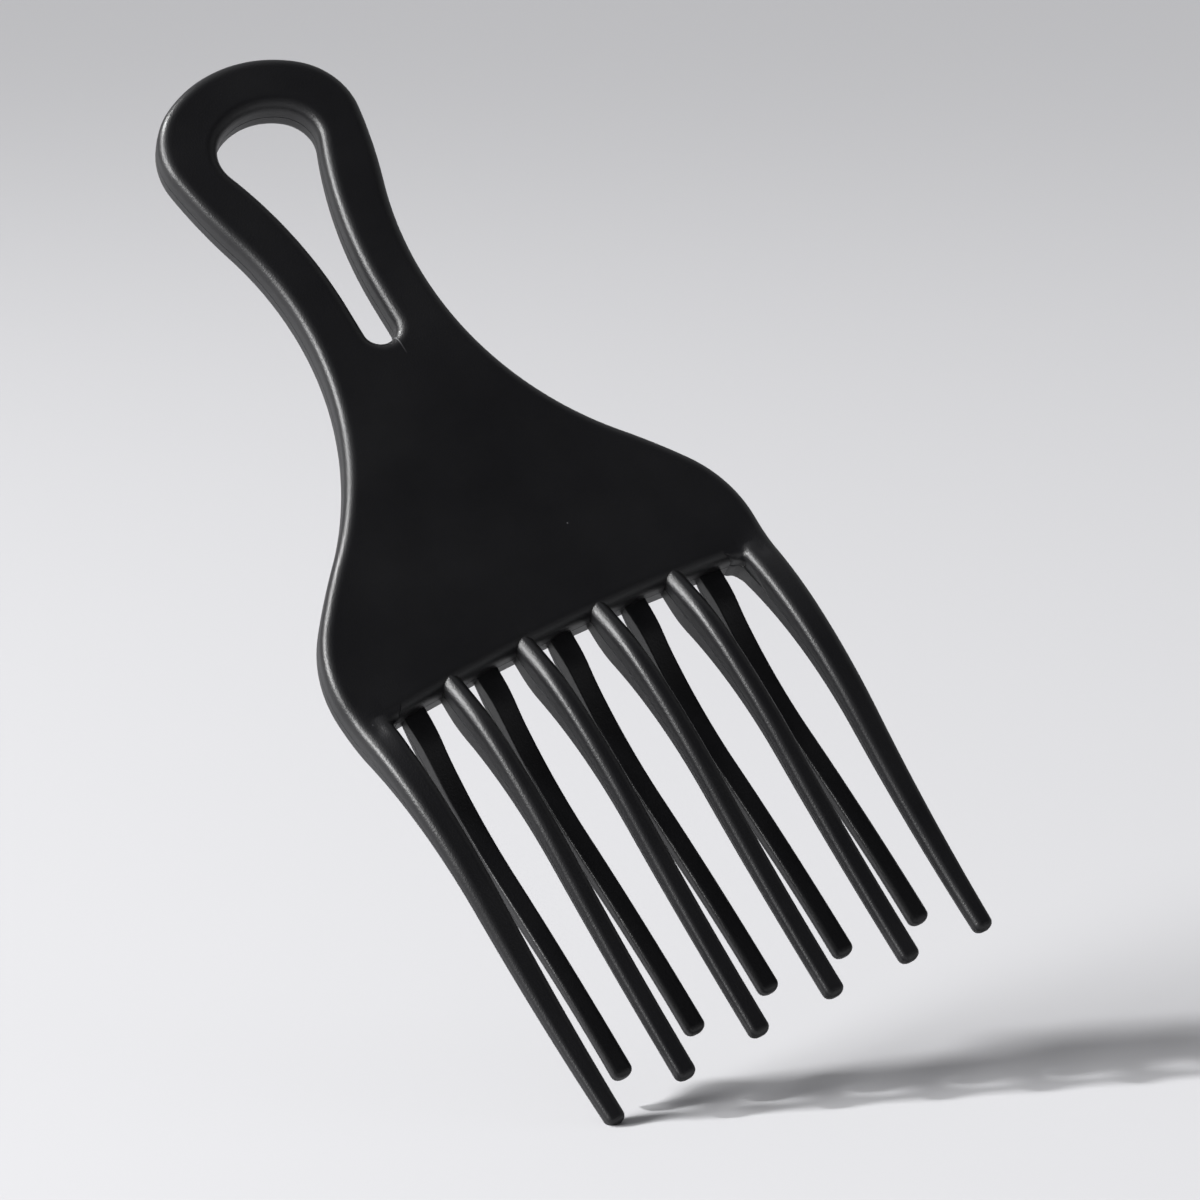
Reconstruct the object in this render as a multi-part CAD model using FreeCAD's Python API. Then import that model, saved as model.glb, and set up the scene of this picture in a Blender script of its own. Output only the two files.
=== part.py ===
# Afro pick: a one-piece plastic hair pick with a loop handle and two staggered rows of bowed teeth.
# X runs to the right, the front face looks to -Y, and Z runs up from the tooth tips to the loop.
import FreeCAD, Part
import math
import os

V = FreeCAD.Vector

# Plate, in millimetres
HANDLE_LENGTH = 103.0
SHOULDER_WIDTH = 72.6
SHOULDER_RISE = 2.9
THICKNESS = 6.8
RIM_RADIUS = 1.9

# Outline of the handle: the loop and neck are measured down from the crown, the flare up and in from the shoulder
LOOP_WIDTH = 32.8
LOOP_DROP = 12.5
NECK_WIDTH = 21.8
NECK_DROP = 44.1
FLARE_INSET = 11.5
FLARE_RISE = 22.5
FLARE_SLOPE = 46.6

# Teardrop hole in the loop, measured down from its own top
CROWN_WALL = 9.05
HOLE_WIDTH = 15.6
HOLE_DROP = 8.5
HOLE_SLANT = 22.3
SLOT_DROP = 36.5
SLOT_WIDTH = 5.0
SLOT_STRAIGHT = 4.75

# Rows of teeth
FRONT_TEETH = 6
FRONT_LENGTH = 67.4
BACK_SHORTFALL = 5.7
ROW_ARC_RADIUS = 300.0
TOOTH_WIDTH = 3.3
TIP_ROUND = 1.25
TOOTH_BEVEL = 0.8

# Outer teeth, which carry on the rim of the shoulder
OUTER_WIDTH = 5.65
OUTER_TIP_WIDTH = 3.0
OUTER_TIP_INSET = 3.0

# Bow of the teeth: how far the outer face lies from the middle plane, and how thick the tooth is there
ROOT_SLANT = 29.5
ROOT_REACH = 2.0
CREST_REACH = 7.25
MIDDLE_REACH = 6.35
TIP_REACH = 3.7
TIP_THICKNESS = 2.55
FRONT_MIDDLE_THICKNESS = 3.35
BACK_MIDDLE_THICKNESS = 3.75

# Where the inner faces start behind the middle plane (front row) or before it (back row), and bend outwards
FRONT_ROOT_DEPTH = 1.7
FRONT_BEND_DEPTH = 0.7
BACK_ROOT_DEPTH = 0.15
BACK_BEND_REACH = 0.35
CORNER_REACH = 4.45
CORNER_DEPTH = 1.5

# Edge between the teeth
ROOT_FRONT_BEVEL = 1.2
ROOT_BACK_BEVEL = 0.3

# Moulding gate left on the crown
GATE_DIAMETER = 1.6
GATE_HEIGHT = 0.35

# How near to a place an edge has to lie to be taken for the one there, and the play of a cut
NEAR = 0.05
CUT_PLAY = 0.001


def sag(x):
    """How far the rows' arc has dropped at a distance x from the middle."""
    return ROW_ARC_RADIUS - math.sqrt(ROW_ARC_RADIUS ** 2 - x ** 2)


HALF = THICKNESS / 2
RIM_BEVEL = RIM_RADIUS * (2 - math.sqrt(2))
OUTER_X = SHOULDER_WIDTH / 2
OUTER_INNER_EDGE = OUTER_X - OUTER_WIDTH
OUTER_TIP_INNER_EDGE = OUTER_X - OUTER_TIP_INSET - OUTER_TIP_WIDTH
OUTER_TIP_X = OUTER_TIP_INNER_EDGE + OUTER_TIP_WIDTH / 2
PITCH = 2 * (OUTER_INNER_EDGE + TOOTH_WIDTH / 2) / (FRONT_TEETH - 1)
BACK_LENGTH = FRONT_LENGTH - BACK_SHORTFALL
ROOT_HEIGHT = FRONT_LENGTH + sag(OUTER_TIP_X)
SHOULDER_HEIGHT = ROOT_HEIGHT + SHOULDER_RISE
LENGTH = SHOULDER_HEIGHT + HANDLE_LENGTH
HOLE_TOP = LENGTH - CROWN_WALL
RIM_SLANT = math.degrees(math.atan2(OUTER_TIP_INSET, SHOULDER_HEIGHT))

# Right-hand edge of the plate and of the hole: places with the direction in which the edge runs through them
OUTLINE = [(0, LENGTH, 0), (LOOP_WIDTH / 2, LENGTH - LOOP_DROP, -90), (NECK_WIDTH / 2, LENGTH - NECK_DROP, -90),
           (OUTER_X - FLARE_INSET, SHOULDER_HEIGHT + FLARE_RISE, -FLARE_SLOPE),
           (OUTER_X, SHOULDER_HEIGHT, -90 - RIM_SLANT)]
HOLE_OUTLINE = [(0, HOLE_TOP, 0), (HOLE_WIDTH / 2, HOLE_TOP - HOLE_DROP, -90 - HOLE_SLANT),
                (SLOT_WIDTH / 2, HOLE_TOP - SLOT_DROP, -90)]

# Side view of a tooth: share of its length below the root and distance from the middle plane
OUTER_FACE = [(0.212, CREST_REACH), (0.476, MIDDLE_REACH), (1.0, TIP_REACH)]
INNER_TIP = (0.996, TIP_REACH - TIP_THICKNESS)
FRONT_INNER = [(0.477, MIDDLE_REACH - FRONT_MIDDLE_THICKNESS), INNER_TIP]
FRONT_ROOT = [(0.034, -FRONT_ROOT_DEPTH), (0.108, -FRONT_BEND_DEPTH)]
BACK_INNER = [(0.467, MIDDLE_REACH - BACK_MIDDLE_THICKNESS), INNER_TIP]
BACK_ROOT = [(0.046, -BACK_ROOT_DEPTH), (0.101, BACK_BEND_REACH)]
ROOT_OUTER = (-0.066, ROOT_REACH)
CORNER_OUTER = (0.018, CORNER_REACH)
CORNER_INNER = (0.054, -CORNER_DEPTH)


def arc_chain(points, heading, place):
    """Arcs through the points, each tangent to the one before; heading is the first one's, in degrees.
    place turns a point of the flat drawing into a point in space."""
    edges = []
    a = math.radians(heading)
    for (u0, v0), (u1, v1) in zip(points, points[1:]):
        chord = math.hypot(u1 - u0, v1 - v0)
        way = math.atan2(v1 - v0, u1 - u0)
        half_turn = (way - a + math.pi) % (2 * math.pi) - math.pi
        reach = chord / 2 / math.cos(half_turn / 2)
        u = u0 + reach * math.cos(a + half_turn / 2)
        v = v0 + reach * math.sin(a + half_turn / 2)
        if abs(half_turn) < 1e-6:
            edges.append(Part.makeLine(place(u0, v0), place(u1, v1)))
        else:
            edges.append(Part.Arc(place(u0, v0), place(u, v), place(u1, v1)).toShape())
        a += 2 * half_turn
    return edges


def arc_pairs(knots):
    """Edges of a frontal outline that runs through each knot in its direction, as two tangent arcs a span."""
    points = [knots[0][:2]]
    for (x0, z0, a0), (x1, z1, a1) in zip(knots, knots[1:]):
        c0, s0 = math.cos(math.radians(a0)), math.sin(math.radians(a0))
        c1, s1 = math.cos(math.radians(a1)), math.sin(math.radians(a1))
        along = (x1 - x0) * (c0 + c1) + (z1 - z0) * (s0 + s1)
        spread = 2 * (1 - c0 * c1 - s0 * s1)
        square = (x1 - x0) ** 2 + (z1 - z0) ** 2
        arm = square / (along + math.sqrt(along ** 2 + spread * square))
        points.append(((x0 + x1 + arm * (c0 - c1)) / 2, (z0 + z1 + arm * (s0 - s1)) / 2))
        points.append((x1, z1))
    return arc_chain(points, knots[0][2], frontal)


def frontal(x, z):
    return V(x, 0, z)


def mirrored(shape):
    return shape.mirror(V(0, 0, 0), V(1, 0, 0))


def closed(edges):
    return Part.Face(Part.Wire(Part.__sortEdges__(edges)))


def plate_deep(face):
    """Solid of a frontal outline, as thick as the plate."""
    solid = face.extrude(V(0, THICKNESS, 0))
    solid.translate(V(0, -HALF, 0))
    return solid


def hole():
    """Teardrop: wide under the crown, narrowing to a slot with a round end."""
    slot, top = HOLE_OUTLINE[-1][:2]
    end = top - SLOT_STRAIGHT
    right = arc_pairs(HOLE_OUTLINE)
    right.append(Part.makeLine(frontal(slot, top), frontal(slot, end)))
    bottom = Part.Arc(frontal(slot, end), frontal(0, end - slot), frontal(-slot, end)).toShape()
    return plate_deep(closed(right + [mirrored(e) for e in right] + [bottom]))


def plate():
    """Loop handle and shoulder as one rounded plate, still straight at the bottom."""
    foot = SHOULDER_HEIGHT - 2 * THICKNESS
    low = OUTER_X - 2 * THICKNESS * OUTER_TIP_INSET / SHOULDER_HEIGHT
    right = arc_pairs(OUTLINE)
    right.append(Part.makeLine(frontal(OUTER_X, SHOULDER_HEIGHT), frontal(low, foot)))
    bottom = Part.makeLine(frontal(low, foot), frontal(-low, foot))
    body = plate_deep(closed(right + [mirrored(e) for e in right] + [bottom])).cut(hole())
    body = body.makeFillet(RIM_RADIUS, rim_edges(body, -HALF, foot))
    return body.makeChamfer(RIM_BEVEL, rim_edges(body, HALF, foot))


def rim_edges(body, y, foot):
    """Edges of the plate's face at y, apart from the line at its foot."""
    found = []
    for edge in body.Edges:
        box = edge.BoundBox
        if abs(box.YMin - y) + abs(box.YMax - y) < NEAR and box.ZMax > foot + NEAR:
            found.append(edge)
    return found


def bottom_edges(body, back):
    """Edges of the root arc on the back or the front face."""
    found = []
    for edge in body.Edges:
        box = edge.BoundBox
        if box.YLength < NEAR and box.ZMax < ROOT_HEIGHT + NEAR and box.XLength > PITCH:
            if (box.YMin > 0) == back:
                found.append(edge)
    return found


def rooted(body):
    """The plate cut along the root arc, with its corners left to the outer teeth."""
    deep = THICKNESS * 3
    axis = V(0, -deep / 2, ROOT_HEIGHT - ROW_ARC_RADIUS)
    body = body.cut(Part.makeCylinder(ROW_ARC_RADIUS, deep, axis, V(0, 1, 0)))
    corner = Part.makeBox(OUTER_X, deep, SHOULDER_HEIGHT, V(OUTER_INNER_EDGE, -deep / 2, 0))
    body = body.cut(corner).cut(mirrored(corner))
    body = body.makeChamfer(ROOT_FRONT_BEVEL, bottom_edges(body, False))
    return body.makeChamfer(ROOT_BACK_BEVEL, bottom_edges(body, True))


def with_gate(body):
    """Low round stub where the moulding was fed, in the middle of the crown."""
    stub = Part.makeCylinder(GATE_DIAMETER / 2, RIM_RADIUS + GATE_HEIGHT, V(0, 0, LENGTH - RIM_RADIUS))
    return body.fuse(stub).removeSplitter()


def tooth_slab(outer, inner, heading, tip, row, left, width):
    """Slab with a tooth's side view, its outer and inner face each followed down to the middle of the tip.
    Gives the slab and the middles of the edges that are bevelled."""

    def place(q, z):
        return V(left, row * q, z)

    middle = ((outer[-1][0] + inner[-1][0]) / 2, tip)
    crest = arc_chain(outer + [middle], heading, place)
    rest = arc_chain(inner + [middle], -90, place)
    top = Part.makeLine(place(*inner[0]), place(*outer[0]))
    slab = closed(crest + rest + [top]).extrude(V(width, 0, 0))
    return slab, [e.CenterOfMass for e in crest]


def bevelled(solid, middles, sides):
    """The tooth with the edges of its outer face and tip bevelled, on its left (-1) or right (1) side."""
    centre = solid.CenterOfMass.x
    for side in sides:
        edges = []
        for edge in solid.Edges:
            point = edge.CenterOfMass
            away = min(math.hypot(point.y - m.y, point.z - m.z) for m in middles)
            if away < NEAR and side * (point.x - centre) > 0:
                edges.append(edge)
        solid = solid.makeChamfer(TOOTH_BEVEL, edges)
    return solid


def heights(points, root, length):
    """Points of a tooth's side view with their heights in place of the shares of its length."""
    return [(q, root - share * (length - TIP_ROUND)) for share, q in points]


def tooth(x, length, row):
    """An inner tooth of either row, from inside the plate to its tip."""
    root = ROOT_HEIGHT - sag(x)
    outer = heights([ROOT_OUTER] + OUTER_FACE, root, length)
    inner = heights(FRONT_ROOT + FRONT_INNER if row < 0 else BACK_ROOT + BACK_INNER, root, length)
    inner.insert(0, (inner[0][0], outer[0][1]))
    left = x - TOOTH_WIDTH / 2
    slab, middles = tooth_slab(outer, inner, ROOT_SLANT - 90, root - length, row, left, TOOTH_WIDTH)
    return bevelled(slab, middles, (-1, 1))


def outer_tooth():
    """The last front tooth on the right, which carries on the rim of the shoulder. It is drawn upright with
    its right-hand side at the shoulder, leant inwards to the rim's slant and cut along its left-hand edge."""
    root = ROOT_HEIGHT - sag(OUTER_TIP_X)
    outer = [(HALF, SHOULDER_HEIGHT)] + heights([CORNER_OUTER] + OUTER_FACE, root, FRONT_LENGTH)
    inner = [(-HALF, SHOULDER_HEIGHT)] + heights([CORNER_INNER] + FRONT_INNER, root, FRONT_LENGTH)
    above = SHOULDER_HEIGHT + THICKNESS
    outer.insert(0, (HALF, above))
    inner.insert(0, (-HALF, above))
    wide = 2 * OUTER_WIDTH
    tip = SHOULDER_HEIGHT * (1 - 1 / math.cos(math.radians(RIM_SLANT)))
    slab, middles = tooth_slab(outer, inner, -90, tip, -1, OUTER_X - wide, wide)
    slab = bevelled(slab, middles, (1,))
    slab.rotate(V(OUTER_X, 0, SHOULDER_HEIGHT), V(0, 1, 0), RIM_SLANT)
    low = -THICKNESS
    clear = OUTER_X + THICKNESS
    seat = ROOT_HEIGHT - sag(OUTER_INNER_EDGE)
    corners = [(OUTER_INNER_EDGE, SHOULDER_HEIGHT), (clear, SHOULDER_HEIGHT), (clear, low),
               (OUTER_TIP_INNER_EDGE, low), (OUTER_INNER_EDGE, seat)]
    front = Part.makePolygon([V(x, -2 * THICKNESS, z) for x, z in corners + corners[:1]])
    return biggest(slab.common(Part.Face(front).extrude(V(0, 4 * THICKNESS, 0))))


def biggest(shape):
    return max(shape.Solids, key=lambda s: s.Volume)


nodes = {}
body = biggest(with_gate(rooted(plate())))
nodes["handle_plate"] = body
right = outer_tooth()
nodes["front_tooth_1"] = mirrored(right)
for i in range(1, FRONT_TEETH - 1):
    x = (i - (FRONT_TEETH - 1) / 2) * PITCH
    nodes["front_tooth_%d" % (i + 1)] = biggest(tooth(x, FRONT_LENGTH, -1).cut([body], CUT_PLAY))
nodes["front_tooth_%d" % FRONT_TEETH] = right
for i in range(FRONT_TEETH - 1):
    x = (i - (FRONT_TEETH - 2) / 2) * PITCH
    nodes["back_tooth_%d" % (i + 1)] = biggest(tooth(x, BACK_LENGTH, 1).cut([body], CUT_PLAY))

os.makedirs("parts", exist_ok=True)
for name, solid in nodes.items():
    solid.exportStep("parts/%s.step" % name)
    box = solid.BoundBox
    print(name, solid.isValid(), len(solid.Solids), "volume %.1f" % solid.Volume,
          "x %.2f..%.2f y %.2f..%.2f z %.2f..%.2f" % (box.XMin, box.XMax, box.YMin, box.YMax, box.ZMin, box.ZMax))
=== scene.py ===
import math

import bmesh
import bpy
import numpy as np
from mathutils import Matrix, Vector


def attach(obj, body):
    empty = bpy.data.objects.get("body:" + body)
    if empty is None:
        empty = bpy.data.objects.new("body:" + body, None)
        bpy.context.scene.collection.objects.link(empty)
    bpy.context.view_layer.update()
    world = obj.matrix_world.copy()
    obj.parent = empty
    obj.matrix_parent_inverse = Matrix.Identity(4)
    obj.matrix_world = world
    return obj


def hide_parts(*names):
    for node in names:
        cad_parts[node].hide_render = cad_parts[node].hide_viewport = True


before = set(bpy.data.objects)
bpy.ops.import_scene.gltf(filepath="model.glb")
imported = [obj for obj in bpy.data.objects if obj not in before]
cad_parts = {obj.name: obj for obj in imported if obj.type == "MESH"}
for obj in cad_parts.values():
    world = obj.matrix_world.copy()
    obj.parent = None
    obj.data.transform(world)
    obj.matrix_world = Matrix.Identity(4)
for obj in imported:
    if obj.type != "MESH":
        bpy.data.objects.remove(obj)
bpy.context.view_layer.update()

# Plate, in millimetres as in the part's source
MM = 0.001
LENGTH = 175.0
HALF = 3.4
RIM = 1.9
OUTER_X = 36.3
SHOULDER = 72.0

# Right-hand edges of the handle and of the hole with its slot: ends of tangent arcs, level at the top
SLOT_END = 124.7
SLOT_RADIUS = 2.5
OUTLINE = [(0, LENGTH), (11.63, 171.36), (16.54, 160.07), (13.51, 146.75), (11.22, 125.12),
           (25.13, 93.95), (32.17, 85.50), (OUTER_X, SHOULDER)]
HOLE = [(0, 165.95), (5.44, 164.37), (7.74, 157.26), (SLOT_RADIUS, 129.5)]

# Rows of teeth before and behind the middle plane, and the edges of the outer teeth, which carry on the rim
FRONT = -1
BACK = 1
FRONT_TEETH = 6
BACK_TEETH = 5
PITCH = 12.92
FRONT_LENGTH = 67.4
BACK_LENGTH = 61.7
ROW_ARC = 300.0
TOOTH_WIDTH = 3.3
TIP_DOME = 1.3
INNER_EDGE = 30.65
TIP_INNER_EDGE = 30.3
TIP_INSET = 3.0

# Side view of a tooth: share of its length below the root and distance from the middle plane, with headings
DOWN = -90.0
ROOT_OUTER = (-0.066, 2.02)
ROOT_SLANT = 29.5
OUTER_FACE = [(0.212, 7.25), (0.476, 6.35), (1.0, 3.71)]
FRONT_INNER = [(0.034, -1.70), (0.108, -0.70), (0.477, 2.99), (1.0, 1.17)]
BACK_INNER = [(0.046, -0.17), (0.101, 0.34), (0.467, 2.61), (1.0, 1.17)]
CORNER_OUTER = (0.018, 4.45)
CORNER_INNER = (0.054, -1.50)

# Rounding of the plate's edge between the teeth, and of a tooth's long edges on its outer and inner faces
ROOT_FRONT = 2.0
ROOT_BACK = 0.5
CREST_ROUND = 1.52
TIP_OUTER_ROUND = 0.85
ROOT_INNER_ROUND = 0.3
TIP_INNER_ROUND = 0.7

# Root of a tooth between the outer two: its start inside the plate, and how far down its forms reach
TOOTH_START = 4.0
ROOT_END = 12.0
CREST_DIP = 0.22
DIP_END = 7.0
BACK_FLARE = 0.5
FLARE_END = 9.0
GABLE = 1.3
GABLE_START = 1.0
CREST_END = 6.0
TIP_NARROWING = 0.05
NARROWING_START = 30.0

# Root of an outer tooth: the corner beside the plate's edge, and how far down the roundings there reach
CORNER_END = 14.0
ROOT_CORNER = 1.3
ROOT_ROUND = 1.2
UNDER_PLATE = 2.0
RIM_END = 4.0
OUTER_CREST_ROUND = 1.5
OUTER_CREST_FULL = 5.0
OUTER_CREST_END = 8.0
OUTER_INNER_ROUND = 0.2

# Where its faces draw level with the panel's: from above the root to below it, over a share of its width,
# with a slight dive under the panel's faces
LEVEL_RISE = 0.2
LEVEL_END = 3.0
LEVEL_SHARE = 0.75
DIVE = 0.05
DIVE_WIDTH = 0.5

# Where its crest starts below the root, and the width over which the crest fades towards the rim
LIFT_START = 1.0
LIFT_END = 9.0
LIFT_FADE = 2.2

# The smaller section that closes it, inside the plate
CAP_RISE = 0.3
CAP_SHARE = 0.8

# Moulding gate: its size, and its profile as shares of radius and height
GATE_RADIUS = 0.8
GATE_HEIGHT = 0.35
GATE_PROFILE = [(1.0, -0.8), (1.0, -0.3), (1.0, 0.5), (0.96, 0.78), (0.85, 0.93), (0.6, 1.0), (0.3, 1.0)]

# Finish of the moulding: lean of the walls, groove of the parting line, strip that keeps flat faces flat
DRAFT = 0.10
PARTING_DEPTH = 0.2
PARTING_WIDTH = 0.07
SUPPORT = 0.3

# Grids: their steps, the angle of sharp edges, the least bend of an arc, and metres within which points join
OUTLINE_STEPS = 26
HOLE_STEPS = 24
SLOT_STEPS = 12
ROOT_ARC_STEPS = 91
EDGE_STEPS = 10
FACE_LINE_STEPS = 60
ROOT_ROWS = 26
CORNER_ROWS = 80
TOOTH_ROWS = 50
CORNER_STEPS = 9
FLANK_PLACES = (0.12, 0.5, 0.88)
FACE_PLACES = np.linspace(0.08, 0.92, 9)
SLOPE_ROWS = 4
DOME_STEPS = 11
DOME_POWER = 2.3
GATE_STEPS = 28
SHARP = math.radians(32)
STRAIGHT = 1e-6
WELD = 1e-7


def sag(x):
    """Drop of the rows' arc at a distance x from the middle: R less the root of R squared less x squared."""
    return ROW_ARC - np.sqrt(ROW_ARC ** 2 - np.asarray(x, float) ** 2)


TIP_X = (OUTER_X - TIP_INSET + TIP_INNER_EDGE) / 2
ROOT = FRONT_LENGTH + float(sag(TIP_X))


def smooth(share):
    """A share from 0 to 1, eased at both ends: three times its square less twice its cube."""
    return share * share * (3 - 2 * share)


def ramp(z, z0, v0, z1, v1):
    """A value that goes smoothly from v0 at height z0 to v1 at height z1."""
    return v0 + (v1 - v0) * smooth(np.clip((z - z0) / (z1 - z0), 0, 1))


def arc_chain(points, heading, steps):
    """Places and headings along arcs through the points, each tangent to the one before. On an arc with
    chord c, first heading a and turn 2h the place at t is c sin(h t) / sin(h) from its start, towards
    a + h t."""
    places, headings = [], []
    a = math.radians(heading)
    t = np.linspace(0, 1, steps, endpoint=False)
    for (u0, v0), (u1, v1) in zip(points, points[1:]):
        chord = math.hypot(u1 - u0, v1 - v0)
        h = (math.atan2(v1 - v0, u1 - u0) - a + math.pi) % (2 * math.pi) - math.pi
        reach = chord * (np.sin(h * t) / math.sin(h) if abs(h) > STRAIGHT else t)
        places.append(np.stack([u0 + reach * np.cos(a + h * t), v0 + reach * np.sin(a + h * t)], -1))
        headings.append(a + 2 * h * t)
        a += 2 * h
    places.append(np.array([points[-1]], float))
    headings.append(np.array([a]))
    return np.concatenate(places), np.concatenate(headings)


def add(name, data):
    """An object that shows the data, linked into the scene."""
    obj = bpy.data.objects.new(name, data)
    bpy.context.scene.collection.objects.link(obj)
    return obj


def piece(name, vertices, faces, node):
    """A closed mesh piece in the shared frame, smooth but for edges past the SHARP angle, which stands for
    the CAD node where one is named."""
    mesh = bpy.data.meshes.new(name)
    mesh.from_pydata((np.asarray(vertices) * MM).tolist(), [], faces)
    bm = bmesh.new()
    bm.from_mesh(mesh)
    bmesh.ops.remove_doubles(bm, verts=bm.verts, dist=WELD)
    bmesh.ops.recalc_face_normals(bm, faces=bm.faces)
    bm.to_mesh(mesh)
    bm.free()
    mesh.shade_smooth()
    mesh.set_sharp_from_angle(angle=SHARP)
    obj = add(name, mesh)
    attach(obj, "root")
    if node:
        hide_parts(node)
    return obj


def grid_faces(rows, columns, first, closed_rows=False, closed_columns=False):
    """Quads of a grid of points numbered row by row from first, round to the start where it is closed."""
    row, column = np.meshgrid(np.arange(rows if closed_rows else rows - 1),
                              np.arange(columns if closed_columns else columns - 1), indexing="ij")
    row, column = row.ravel(), column.ravel()
    next_row, next_column = (row + 1) % rows, (column + 1) % columns
    corners = [row * columns + column, row * columns + next_column,
               next_row * columns + next_column, next_row * columns + column]
    return (first + np.stack(corners, -1)).tolist()


def edge_profile(front, back):
    """Section of a plate edge from its front face to its back face, as distances in from the edge and
    depths: quarter circles of the two radii, a wall with a little draft and the parting line's groove."""
    turn = np.linspace(0, math.pi / 2, EDGE_STEPS)
    lean_front, lean_back = DRAFT * (HALF - front) / HALF, DRAFT * (HALF - back) / HALF
    inset = [[front + SUPPORT], lean_front + (front - lean_front) * (1 - np.sin(turn)),
             [0, PARTING_DEPTH, 0],
             lean_back + (back - lean_back) * (1 - np.sin(turn[::-1])), [back + SUPPORT]]
    depth = [[-HALF], -HALF + front * (1 - np.cos(turn)), [-PARTING_WIDTH, 0, PARTING_WIDTH],
             HALF - back * (1 - np.cos(turn[::-1])), [HALF]]
    return np.concatenate(inset), np.concatenate(depth)


def swept(places, headings, profile, side):
    """The edge profile carried along a path: each point lies its distance in from the path, to the given
    side of the path's heading, at its depth."""
    inset, depth = profile
    nx, nz = -np.sin(headings), np.cos(headings)
    x = places[:, :1] + side * nx[:, None] * inset
    z = places[:, 1:] + side * nz[:, None] * inset
    return np.stack([x, np.broadcast_to(depth, x.shape), z], -1)


def outer_rim():
    """The rim round the handle, from its left end over the top: the outline and its mirror image."""
    places, headings = arc_chain(OUTLINE, 0, OUTLINE_STEPS)
    places = np.concatenate([places[:0:-1] * (-1, 1), places])
    headings = np.concatenate([-headings[:0:-1], headings])
    rim = swept(places, headings, edge_profile(RIM, RIM), -1)
    rim[[0, -1], :, 2] = SHOULDER
    return rim


def hole_rim():
    """The rim round the hole: tangent arcs down the right, a quarter circle under the slot, and the mirror
    image of both up the left. Also the number of the row at the bottom."""
    places, headings = arc_chain(HOLE, 0, HOLE_STEPS)
    turn = np.linspace(0, math.pi / 2, SLOT_STEPS)
    slot_end = np.stack([SLOT_RADIUS * np.cos(turn), SLOT_END - SLOT_RADIUS * np.sin(turn)], -1)
    places = np.concatenate([places, slot_end])
    headings = np.concatenate([headings, -math.pi / 2 - turn])
    right = swept(places, headings, edge_profile(RIM, RIM), 1)
    return np.concatenate([right, right[-2:0:-1] * (-1, 1, 1)]), len(right) - 1


def root_edge():
    """The edge between the teeth: its profile carried along the rows' arc between the outer teeth."""
    x = np.linspace(-INNER_EDGE, INNER_EDGE, ROOT_ARC_STEPS)
    arc = np.stack([x, ROOT - sag(x)], -1)
    edge = swept(arc, -np.arcsin(x / ROW_ARC), edge_profile(ROOT_FRONT, ROOT_BACK), 1)
    edge[[0, -1], :, 0] = np.array([[-INNER_EDGE], [INNER_EDGE]])
    return edge


def build_plate():
    """The handle and shoulder: edge profiles swept round the outline, the hole and the root arc, joined by
    two flat halves on each face and by the four small caps that the outer teeth cover."""
    rim, (hole, low), root = outer_rim(), hole_rim(), root_edge()
    corners = np.array([(side * INNER_EDGE, y, SHOULDER) for side in (-1, 1) for y in (-HALF, HALF)])
    vertices = np.concatenate([part.reshape(-1, 3) for part in (rim, hole, root, corners)])
    numbers = np.arange(len(vertices))
    ends = np.cumsum([part[..., 0].size for part in (rim, hole, root)])
    rim_at, hole_at, root_at, corner_at = (
        part.reshape(shape) for part, shape in zip(
            np.split(numbers, ends), (rim.shape[:2], hole.shape[:2], root.shape[:2], (2, 2))))

    faces = grid_faces(*rim_at.shape, int(rim_at[0, 0]))
    faces += grid_faces(*hole_at.shape, int(hole_at[0, 0]), closed_rows=True)
    faces += grid_faces(*root_at.shape, int(root_at[0, 0]))
    top, middle = len(rim) // 2, len(root) // 2
    for face in (0, -1):
        right = [rim_at[top:, face], corner_at[1:, face], root_at[:middle - 1:-1, face],
                 hole_at[low::-1, face]]
        left = [rim_at[top::-1, face], corner_at[:1, face], root_at[:middle + 1, face],
                hole_at[low:, face], hole_at[:1, face]]
        faces += [np.concatenate(right).tolist(), np.concatenate(left).tolist()]
    for end in (0, -1):
        for edge_at in (rim_at, root_at):
            faces.append(np.concatenate([edge_at[end], corner_at[end, ::-1]]).tolist())
    return piece("handle_plate_skin", vertices, faces, "handle_plate")


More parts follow.
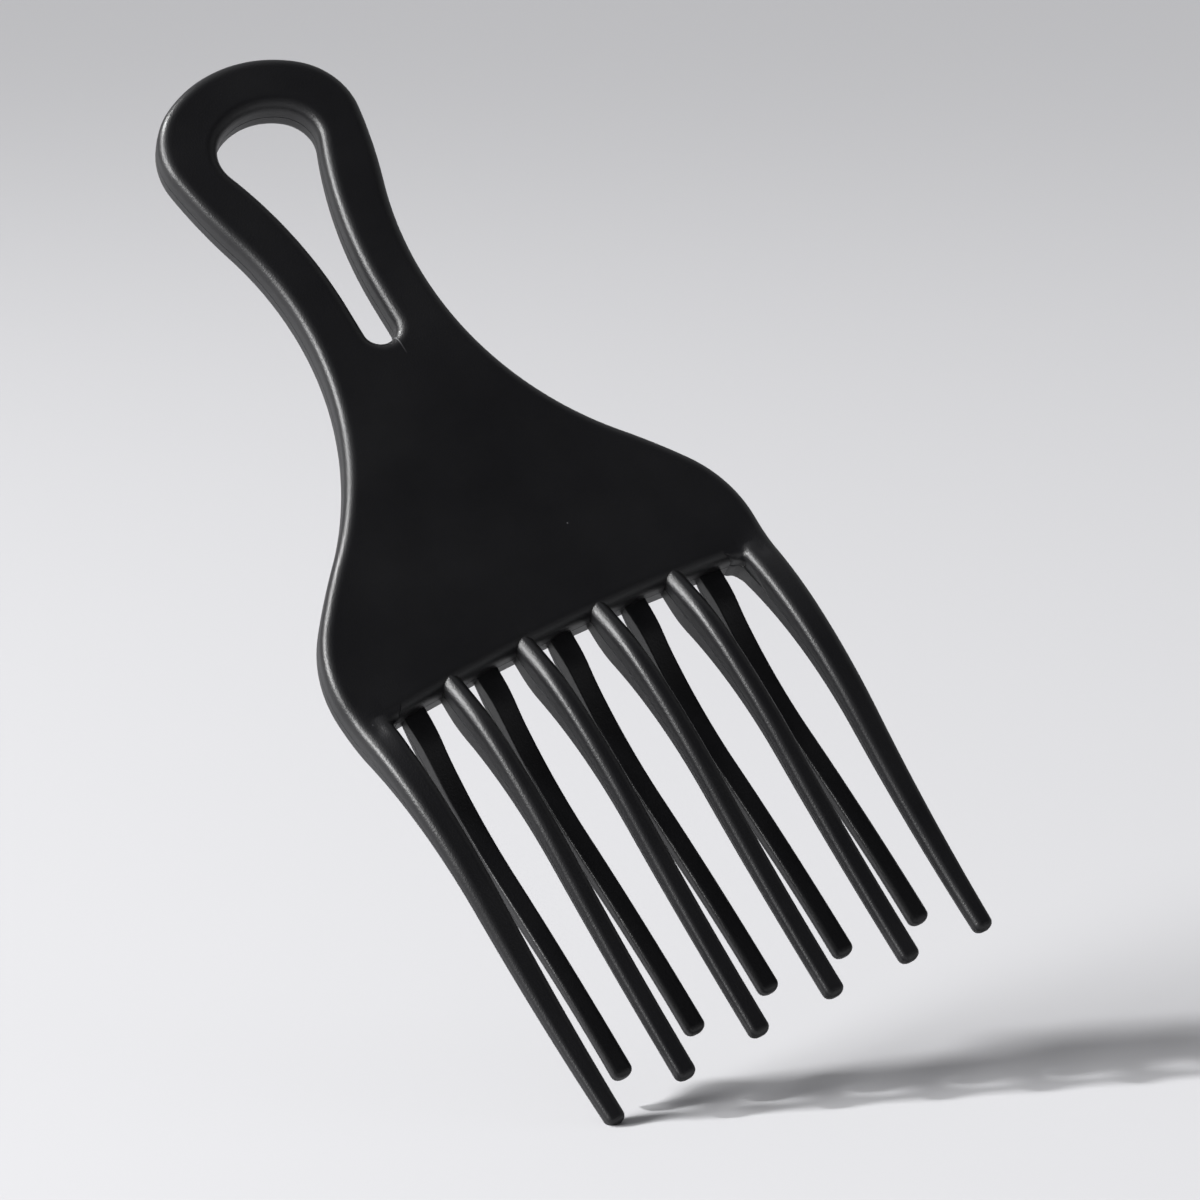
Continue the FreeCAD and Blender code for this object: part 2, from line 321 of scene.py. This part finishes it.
def section(left, right, outer, inner, radii, gable):
    """Rounded four-sided tooth section at every height, round from the middle of the outer face. The flanks
    lean in from a narrow groove half way between the faces. A corner of radius r follows r sin(t)^g and
    r cos(t)^g: a quarter circle for g = 1, flatter towards a bevel as g of the outer corners grows."""
    left, right, outer, inner, gable = (
        np.asarray(line, float)[:, None] for line in (left, right, outer, inner, gable))
    out_left, out_right, in_left, in_right = (radius[:, None] for radius in radii)
    middle = (outer + inner) / 2
    turn = np.linspace(0, math.pi / 2, CORNER_STEPS)[None]
    bent_sin, bent_cos = np.sin(turn) ** gable, np.cos(turn) ** gable

    def lean(q):
        """How far in a flank is at the distance q from the middle plane, growing evenly from its groove."""
        return DRAFT * np.abs(q - middle) / (outer - middle)

    def flank(edge, way, up, low):
        """A straight flank between the corners, with the groove half way."""
        first = up + (middle + PARTING_WIDTH - up) * np.append(FLANK_PLACES, 1)[None]
        last = middle - PARTING_WIDTH + (low - middle + PARTING_WIDTH) * np.insert(FLANK_PLACES, 0, 0)[None]
        q = np.concatenate([first, middle, last], 1)
        groove = PARTING_DEPTH * (np.arange(q.shape[1]) == first.shape[1])
        return edge - way * (groove + lean(q)), q

    def half(edge, way, r_out, r_in):
        """One side, from the outer face to the inner face: a corner, the flank and a corner."""
        up, low = outer - r_out, inner + r_in
        lean_up, lean_low = lean(up), lean(low)
        flank_x, flank_q = flank(edge, way, up, low)
        out_x = edge - way * (lean_up + (r_out - lean_up) * (1 - bent_sin))
        in_x = edge - way * (lean_low + (r_in - lean_low) * (1 - np.cos(turn)))
        out_q = outer - r_out * (1 - bent_cos)
        in_q = inner + r_in * (1 - np.sin(turn))
        return np.concatenate([out_x, flank_x, in_x], 1), np.concatenate([out_q, flank_q, in_q], 1)

    def across(start, end, level):
        """A flat face from the end of one side to the start of the other."""
        x = start[:, -1:] + (end[:, :1] - start[:, -1:]) * FACE_PLACES
        return x, level + 0 * x

    right_x, right_q = half(right, 1, out_right, in_right)
    left_x, left_q = (line[:, ::-1] for line in half(left, -1, out_left, in_left))
    under_x, under_q = across(right_x, left_x, inner)
    over_x, over_q = across(left_x, right_x, outer)
    return (np.concatenate([right_x, under_x, left_x, over_x], 1),
            np.concatenate([right_q, under_q, left_q, over_q], 1))


def build_tooth(name, row, z, xs, qs, middle, tip):
    """A tooth: its sections at the heights z, closed on top and carried on below by a dome, in which the
    last section shrinks about its centre as a flattened circle while it falls to the tip along the slope of
    the tooth's middle line."""
    t = np.sin(np.linspace(0, math.pi / 2, DOME_STEPS))[1:-1]
    shrink = ((1 - t ** DOME_POWER) ** (1 / DOME_POWER))[:, None]
    slope = (middle[-SLOPE_ROWS] - middle[-1]) / (z[-SLOPE_ROWS] - z[-1])
    drop = z[-1] - tip
    fall = drop * t
    centre_x, centre_q = ((line[-1].min() + line[-1].max()) / 2 for line in (xs, qs))
    dome_x = centre_x + shrink * (xs[-1] - centre_x)
    dome_q = centre_q - slope * fall[:, None] + shrink * (qs[-1] - centre_q)
    xs, qs = np.concatenate([xs, dome_x]), np.concatenate([qs, dome_q])
    z = np.concatenate([z, z[-1] - fall])
    points = np.stack([xs, row * qs, np.broadcast_to(z[:, None], xs.shape)], -1)
    end = (centre_x, row * (centre_q - slope * drop), tip)
    vertices = np.concatenate([points.reshape(-1, 3), [end]])

    rows, columns = xs.shape
    around = np.arange(columns)
    last = (rows - 1) * columns + around
    fan = np.stack([last, np.roll(last, -1), np.full(columns, rows * columns)], -1)
    faces = grid_faces(rows, columns, 0, closed_columns=True) + [around.tolist()] + fan.tolist()
    return piece(name + "_skin", vertices, faces, name)


def face_line(points, heading, z):
    """Distance from the middle plane at the heights z of a face that follows tangent arcs."""
    places, _ = arc_chain(points, heading, FACE_LINE_STEPS)
    order = np.argsort(places[:, 1])
    return np.interp(z, places[order, 1], places[order, 0])


def heights(points, root, length):
    """Distances from the middle plane with heights, from shares of a tooth's length below its root."""
    return [(q, root - share * (length - TIP_DOME)) for share, q in points]


def section_heights(top, bend, low, fine_rows):
    """Heights of a tooth's sections: fine from its top to the bend, coarser from there to the dome."""
    return np.concatenate([np.linspace(top, bend, fine_rows), np.linspace(bend, low, TOOTH_ROWS)[1:]])


def inner_tooth(name, x, length, row):
    """A tooth between the outer two, or of the back row: its width and the rounding of its corners go
    smoothly from root to tip."""
    root = ROOT - float(sag(x))
    low = root - length + TIP_DOME
    z = section_heights(root + TOOTH_START, root - ROOT_END, low, ROOT_ROWS)
    outer_points = heights([ROOT_OUTER] + OUTER_FACE, root, length)
    inner_points = heights(FRONT_INNER if row == FRONT else BACK_INNER, root, length)
    inner_points.insert(0, (inner_points[0][0], outer_points[0][1]))
    outer = face_line(outer_points, DOWN + ROOT_SLANT, z) - ramp(z, root, CREST_DIP, root - DIP_END, 0)
    inner = face_line(inner_points, DOWN, z)
    root_width = TOOTH_WIDTH + (0 if row == FRONT else BACK_FLARE)
    half = ramp(z, root, root_width / 2, root - FLARE_END, TOOTH_WIDTH / 2)
    half = half - ramp(z, root - NARROWING_START, 0, low, TIP_NARROWING)
    r_out = ramp(z, root - CREST_END, CREST_ROUND, low, TIP_OUTER_ROUND)
    r_in = ramp(z, root, ROOT_INNER_ROUND, low, TIP_INNER_ROUND)
    gable = ramp(z, root - GABLE_START, GABLE, root - ROOT_END, 1)
    xs, qs = section(x - half, x + half, outer, inner, (r_out, r_out, r_in, r_in), gable)
    return build_tooth(name, row, z, xs, qs, (outer + inner) / 2, root - length)


def outer_tooth(name, side):
    """The last tooth of the front row, whose far edge carries on the rim of the shoulder. Its inner edge
    comes off the plate's edge in a quarter circle."""
    root = ROOT - float(sag(TIP_X))
    low = TIP_DOME
    z = section_heights(SHOULDER, SHOULDER - CORNER_END, low, CORNER_ROWS)
    outer_points = [(HALF, SHOULDER)] + heights([CORNER_OUTER] + OUTER_FACE, root, FRONT_LENGTH)
    inner_points = [(-HALF, SHOULDER)] + heights([CORNER_INNER] + FRONT_INNER[2:], root, FRONT_LENGTH)
    outer, inner = face_line(outer_points, DOWN, z), face_line(inner_points, DOWN, z)
    down = (SHOULDER - z) / SHOULDER
    far = OUTER_X - TIP_INSET * down
    edge = INNER_EDGE + (TIP_INNER_EDGE - INNER_EDGE) * down
    rise = np.clip(z - root + ROOT_CORNER, 0, ROOT_CORNER)
    reach = ROOT_CORNER - np.sqrt(ROOT_CORNER ** 2 - rise ** 2) + np.clip(z - root, 0, UNDER_PLATE)
    rim_front = ramp(z, SHOULDER - RIM_END, RIM, low, TIP_OUTER_ROUND)
    rim_back = ramp(z, SHOULDER - RIM_END, RIM, low, TIP_INNER_ROUND)
    edge_front = ramp(z, root, ROOT_ROUND, root - OUTER_CREST_FULL, OUTER_CREST_ROUND)
    edge_front = edge_front - ramp(z, root - OUTER_CREST_END, 0, low, OUTER_CREST_ROUND - TIP_OUTER_ROUND)
    edge_back = ramp(z, SHOULDER, OUTER_INNER_ROUND, low, TIP_INNER_ROUND)
    radii = (edge_front, rim_front, edge_back, rim_back)
    xs, qs = section(edge - reach, far, outer, inner, radii, np.ones(len(z)))
    edge, far, outer, inner, height = (line[:, None] for line in (edge, far, outer, inner, z))
    middle = (outer + inner) / 2

    # Near the root both faces draw level with the panel's towards the inner edge, and lie just under them
    share = np.clip((xs - edge) / (LEVEL_SHARE * (far - edge)), 0, 1)
    near = ramp(height, root + LEVEL_RISE, 1, root - LEVEL_END, 0)
    fade = smooth(near) * (1 - smooth(share))
    level = outer - fade * np.maximum(outer - HALF, 0)
    behind = np.clip((middle - qs) / (middle - inner), 0, 1)
    dive = DIVE * np.clip((edge - xs) / DIVE_WIDTH, 0, 1)
    qs = qs - fade * np.maximum(qs - HALF, 0) - fade * behind * (qs + HALF - dive)

    # The rounding of the panel's bottom edge runs on round the corner and down the tooth
    away = np.hypot(np.maximum(xs - edge + ROOT_CORNER, 0), np.maximum(height - root + ROOT_CORNER, 0))
    lack = np.clip(ROOT_ROUND + ROOT_CORNER - away, 0, ROOT_ROUND)
    sunk = ROOT_ROUND - np.sqrt(ROOT_ROUND ** 2 - lack ** 2)
    qs = np.where(qs > middle, np.minimum(qs, level - sunk - dive), qs)

    # Along its inner side the tooth starts with the crest of the teeth between, which fades towards the rim
    crest_points = heights([ROOT_OUTER] + OUTER_FACE, root, FRONT_LENGTH)
    short = np.clip((edge + CREST_ROUND - xs) / CREST_ROUND, 0, 1)
    crest = face_line(crest_points, DOWN + ROOT_SLANT, height) - CREST_ROUND * (1 - np.sqrt(1 - short ** 2))
    before_rim = np.clip((far - RIM - xs) / LIFT_FADE, 0, 1)
    start = ramp(height, root - LIFT_START, 1, root - LIFT_END, 0)
    lift = smooth(start) * smooth(before_rim) * np.maximum(crest - qs, 0)
    qs = np.where((qs > middle) & (xs > edge), qs + lift, qs)

    cap_x = xs[0].mean() + CAP_SHARE * (xs[0] - xs[0].mean())
    xs, qs = np.concatenate([[cap_x], xs]), np.concatenate([CAP_SHARE * qs[:1], qs])
    z = np.concatenate([[SHOULDER + CAP_RISE], z])
    return build_tooth(name, FRONT, z, side * xs, qs, middle[:, 0], 0.0)


def build_gate():
    """Low stub left by the moulding gate: a flattened dome on a short round wall."""
    around = np.linspace(0, 2 * math.pi, GATE_STEPS, endpoint=False)
    radius, height = (np.array(GATE_PROFILE) * (GATE_RADIUS, GATE_HEIGHT)).T[:, :, None]
    x, y = radius * np.cos(around), radius * np.sin(around)
    points = np.stack([x, y, np.broadcast_to(LENGTH + height, x.shape)], -1)
    rows, columns = x.shape
    faces = grid_faces(rows, columns, 0, closed_columns=True)
    faces += [list(range(columns)), list(range((rows - 1) * columns, rows * columns))]
    return piece("gate_stub", points.reshape(-1, 3), faces, None)


plate = build_plate()
teeth = [outer_tooth("front_tooth_1", -1), outer_tooth("front_tooth_%d" % FRONT_TEETH, 1)]
for i in range(2, FRONT_TEETH):
    x = (i - (FRONT_TEETH + 1) / 2) * PITCH
    teeth.append(inner_tooth("front_tooth_%d" % i, x, FRONT_LENGTH, FRONT))
for i in range(1, BACK_TEETH + 1):
    x = (i - (BACK_TEETH + 1) / 2) * PITCH
    teeth.append(inner_tooth("back_tooth_%d" % i, x, BACK_LENGTH, BACK))
gate = build_gate()

# Look of the plastic: its colour, that of specks and knit line, and its grain as waves per metre and detail
BLACK = (0.003, 0.003, 0.0037, 1)
PALE = (0.11, 0.11, 0.115, 1)
REFRACTION = 1.45
GRAIN = (3800, 2)
GRAIN_STRENGTH = 0.7
GRAIN_DEPTH = 0.06 * MM

# Gloss: the clouds and the roughness that they range over on the faces, and the roughness of the side walls,
# which a surface takes on as the part of its normal across the plate falls through a range
CLOUDS = (70, 3)
CLOUD_RANGE = (0.3, 0.7)
FACE_ROUGHNESS = (0.33, 0.41)
WALL_ROUGHNESS = 0.5
WALL_RANGE = (0.15, 0.5)

# Specks of dust: cells per metre, the radii between which a dot fades, and the range that picks a few cells
SPECK_SCALE = 330
SPECK_EDGE = (0.045, 0.03)
SPECK_CHOICE = (0.93, 0.94)

# Knit line below the slot: its place, its half width to where it starts and ends fading, and its length
KNIT_X = 1.3
KNIT_WIDTH = (0.04, 0.1)
KNIT_DROP = 6.0
KNIT_TOP = 1.0


def black_plastic():
    """Satin black moulded plastic: fine mould grain, cloudy gloss, duller side walls, a few specks of dust
    and the short pale knit line where the melt met below the slot."""
    material = bpy.data.materials.new("satin_black_plastic")
    material.use_nodes = True
    nodes, links = material.node_tree.nodes, material.node_tree.links
    shader = nodes["Principled BSDF"]
    where = nodes.new("ShaderNodeTexCoord")
    place = where.outputs["Object"]

    def noise(scale, detail):
        """Smooth noise over the piece, of so many waves per metre."""
        node = nodes.new("ShaderNodeTexNoise")
        node.inputs["Scale"].default_value = scale
        node.inputs["Detail"].default_value = detail
        links.new(place, node.inputs["Vector"])
        return node.outputs["Fac"]

    def span(value, low, high, to_low, to_high):
        """A value that goes evenly from to_low to to_high as the given one goes from low to high."""
        node = nodes.new("ShaderNodeMapRange")
        for name, v in (("From Min", low), ("From Max", high), ("To Min", to_low), ("To Max", to_high)):
            node.inputs[name].default_value = v
        links.new(value, node.inputs["Value"])
        return node.outputs["Result"]

    def maths(operation, first, second):
        """The operation's result on two values, each a socket or a plain number."""
        node = nodes.new("ShaderNodeMath")
        node.operation = operation
        for socket, value in zip(node.inputs, (first, second)):
            if isinstance(value, (int, float)):
                socket.default_value = value
            else:
                links.new(value, socket)
        return node.outputs["Value"]

    def split(vector):
        """The three parts of a vector."""
        node = nodes.new("ShaderNodeSeparateXYZ")
        links.new(vector, node.inputs["Vector"])
        return node.outputs

    bump = nodes.new("ShaderNodeBump")
    bump.inputs["Strength"].default_value = GRAIN_STRENGTH
    bump.inputs["Distance"].default_value = GRAIN_DEPTH
    links.new(noise(*GRAIN), bump.inputs["Height"])
    links.new(bump.outputs["Normal"], shader.inputs["Normal"])

    facing = maths("ABSOLUTE", split(where.outputs["Normal"])["Y"], 0)
    gloss = nodes.new("ShaderNodeMix")
    links.new(span(facing, *WALL_RANGE, 1, 0), gloss.inputs["Factor"])
    links.new(span(noise(*CLOUDS), *CLOUD_RANGE, *FACE_ROUGHNESS), gloss.inputs["A"])
    gloss.inputs["B"].default_value = WALL_ROUGHNESS
    links.new(gloss.outputs["Result"], shader.inputs["Roughness"])

    cells = nodes.new("ShaderNodeTexVoronoi")
    cells.inputs["Scale"].default_value = SPECK_SCALE
    links.new(place, cells.inputs["Vector"])
    chance = nodes.new("ShaderNodeSeparateColor")
    links.new(cells.outputs["Color"], chance.inputs["Color"])
    specks = maths("MULTIPLY", span(cells.outputs["Distance"], *SPECK_EDGE, 0, 1),
                   span(chance.outputs["Red"], *SPECK_CHOICE, 0, 1))

    x, _, z = split(place).values()
    beside = maths("ABSOLUTE", maths("SUBTRACT", x, KNIT_X * MM), 0)
    knit = maths("MULTIPLY", span(beside, KNIT_WIDTH[0] * MM, KNIT_WIDTH[1] * MM, 1, 0),
                 span(z, (SLOT_END - KNIT_DROP) * MM, (SLOT_END - SLOT_RADIUS) * MM, 0, 1))
    knit = maths("MULTIPLY", knit, span(z, SLOT_END * MM, (SLOT_END + KNIT_TOP) * MM, 1, 0))

    colour = nodes.new("ShaderNodeMix")
    colour.data_type = "RGBA"
    colour.inputs["A"].default_value = BLACK
    colour.inputs["B"].default_value = PALE
    links.new(maths("MAXIMUM", specks, knit), colour.inputs["Factor"])
    links.new(colour.outputs["Result"], shader.inputs["Base Color"])
    shader.inputs["IOR"].default_value = REFRACTION
    return material


plastic = black_plastic()
for obj in [plate, gate] + teeth:
    obj.data.materials.append(plastic)

# Camera: turned to the left of the front, below the part, and rolled, as the part leans in the photograph.
# The nearest that it sees is in metres
TURN = math.radians(22.05)
BELOW = math.radians(15.99)
ROLL = math.radians(-31.60)
DISTANCE = 616.7
AIM = Vector((8.38, 0, 71.57))
SENSOR = 36
FOCAL_PIXELS = 4134.6
IMAGE_PIXELS = 1200
NEAREST = 0.01


def aimed(obj, place, right, up, back):
    """Puts a camera or lamp at a place in millimetres, looking against back."""
    obj.matrix_world = Matrix.Translation(place * MM) @ Matrix((right, up, back)).transposed().to_4x4()


def add_camera():
    """The camera, from its turn about the part, its angle below it and its roll about the line of sight."""
    lens = bpy.data.cameras.new("camera")
    lens.sensor_width = SENSOR
    lens.lens = SENSOR * FOCAL_PIXELS / IMAGE_PIXELS
    lens.clip_start = NEAREST
    away = Vector((-math.sin(TURN) * math.cos(BELOW), -math.cos(TURN) * math.cos(BELOW), -math.sin(BELOW)))
    across = Vector((math.cos(TURN), -math.sin(TURN), 0))
    image_right = math.cos(ROLL) * across + math.sin(ROLL) * away.cross(across)
    camera = add("camera", lens)
    aimed(camera, AIM + DISTANCE * away, image_right, away.cross(image_right), away)
    return camera


bpy.context.scene.camera = add_camera()

# Key lamp: a small bright lamp far off above the handle's end, from where the floor's shadows say
KEY_FROM = Vector((-0.28, -0.10, 0.955)).normalized()
KEY_AT = Vector((0, 0, 0))
KEY_FAR = 1000
KEY_UP = Vector((0, 1, 0))
KEY_ENERGY = 3.4
KEY_ANGLE = math.radians(4)

# Side lamp: a long soft lamp up on the left, which draws the bright line along the left-hand roundings. Its
# width and height are in metres
SIDE_FROM = Vector((-0.73, -0.31, 0.58)).normalized()
SIDE_AT = Vector((0, 0, 85))
SIDE_FAR = 2000
SIDE_UP = Vector((0.25, 0.44, 0.54))
SIDE_ENERGY = 72
SIDE_WIDTH = 0.33
SIDE_HEIGHT = 1.44


def add_lamp(lamp, source, target, distance, up):
    """Puts a lamp at a distance from the target towards its source, its height as near up as can be."""
    right = up.cross(source).normalized()
    aimed(add(lamp.name, lamp), target + distance * source, right, source.cross(right), source)


key = bpy.data.lights.new("key_lamp", "SUN")
key.energy = KEY_ENERGY
key.angle = KEY_ANGLE
add_lamp(key, KEY_FROM, KEY_AT, KEY_FAR, KEY_UP)

strip = bpy.data.lights.new("side_lamp", "AREA")
strip.shape = "RECTANGLE"
strip.size = SIDE_WIDTH
strip.size_y = SIDE_HEIGHT
strip.energy = SIDE_ENERGY
add_lamp(strip, SIDE_FROM, SIDE_AT, SIDE_FAR, SIDE_UP)

# Floor: plain and pale, touching the tip that the part stands on, clear from below. Its reach is in metres
FLOOR_UP = Vector((0.33, -0.56, 0.76)).normalized()
FLOOR_FOOT = Vector((-32, -2.4, 0))
FLOOR_REACH = 60
FLOOR_GREY = (0.48, 0.48, 0.492, 1)
FLOOR_ROUGHNESS = 0.8


def floor_paper():
    """Matt pale paper seen from above, and nothing seen from below."""
    material = bpy.data.materials.new("floor_paper")
    material.use_nodes = True
    nodes, links = material.node_tree.nodes, material.node_tree.links
    paper = nodes["Principled BSDF"]
    paper.inputs["Base Color"].default_value = FLOOR_GREY
    paper.inputs["Roughness"].default_value = FLOOR_ROUGHNESS
    clear = nodes.new("ShaderNodeBsdfTransparent")
    one_side = nodes.new("ShaderNodeMixShader")
    links.new(nodes.new("ShaderNodeNewGeometry").outputs["Backfacing"], one_side.inputs["Fac"])
    links.new(paper.outputs["BSDF"], one_side.inputs[1])
    links.new(clear.outputs["BSDF"], one_side.inputs[2])
    links.new(one_side.outputs["Shader"], nodes["Material Output"].inputs["Surface"])
    return material


across = FLOOR_UP.cross(Vector((0, 1, 0))).normalized()
along = across.cross(FLOOR_UP)
corners = [FLOOR_FOOT * MM + FLOOR_REACH * (i * across + j * along)
           for i, j in ((-1, -1), (-1, 1), (1, 1), (1, -1))]
floor_mesh = bpy.data.meshes.new("floor")
floor_mesh.from_pydata(corners, [], [(0, 1, 2, 3)])
floor_mesh.materials.append(floor_paper())
floor = add("floor", floor_mesh)

# World: an even grey room with a darker patch in front of the part, where its flat face is mirrored
ROOM_GREY = (0.32, 0.32, 0.33, 1)
PATCH_GREY = (0.05, 0.05, 0.055, 1)
PATCH_TOWARDS = Vector((0.36, -0.89, 0.28)).normalized()
PATCH_EDGE = (0.82, 0.95)


def studio_world():
    """A room whose grey goes over to the patch's by the cosine of the angle from the patch's middle."""
    world = bpy.data.worlds.new("studio")
    world.use_nodes = True
    nodes, links = world.node_tree.nodes, world.node_tree.links
    cosine = nodes.new("ShaderNodeVectorMath")
    cosine.operation = "DOT_PRODUCT"
    cosine.inputs[1].default_value = PATCH_TOWARDS
    links.new(nodes.new("ShaderNodeTexCoord").outputs["Generated"], cosine.inputs[0])
    patch = nodes.new("ShaderNodeMapRange")
    patch.interpolation_type = "SMOOTHSTEP"
    patch.inputs["From Min"].default_value, patch.inputs["From Max"].default_value = PATCH_EDGE
    links.new(cosine.outputs["Value"], patch.inputs["Value"])
    room = nodes.new("ShaderNodeMix")
    room.data_type = "RGBA"
    room.inputs["A"].default_value = ROOM_GREY
    room.inputs["B"].default_value = PATCH_GREY
    links.new(patch.outputs["Result"], room.inputs["Factor"])
    links.new(room.outputs["Result"], nodes["Background"].inputs["Color"])
    return world


bpy.context.scene.world = studio_world()
bpy.context.scene.view_settings.view_transform = "Standard"
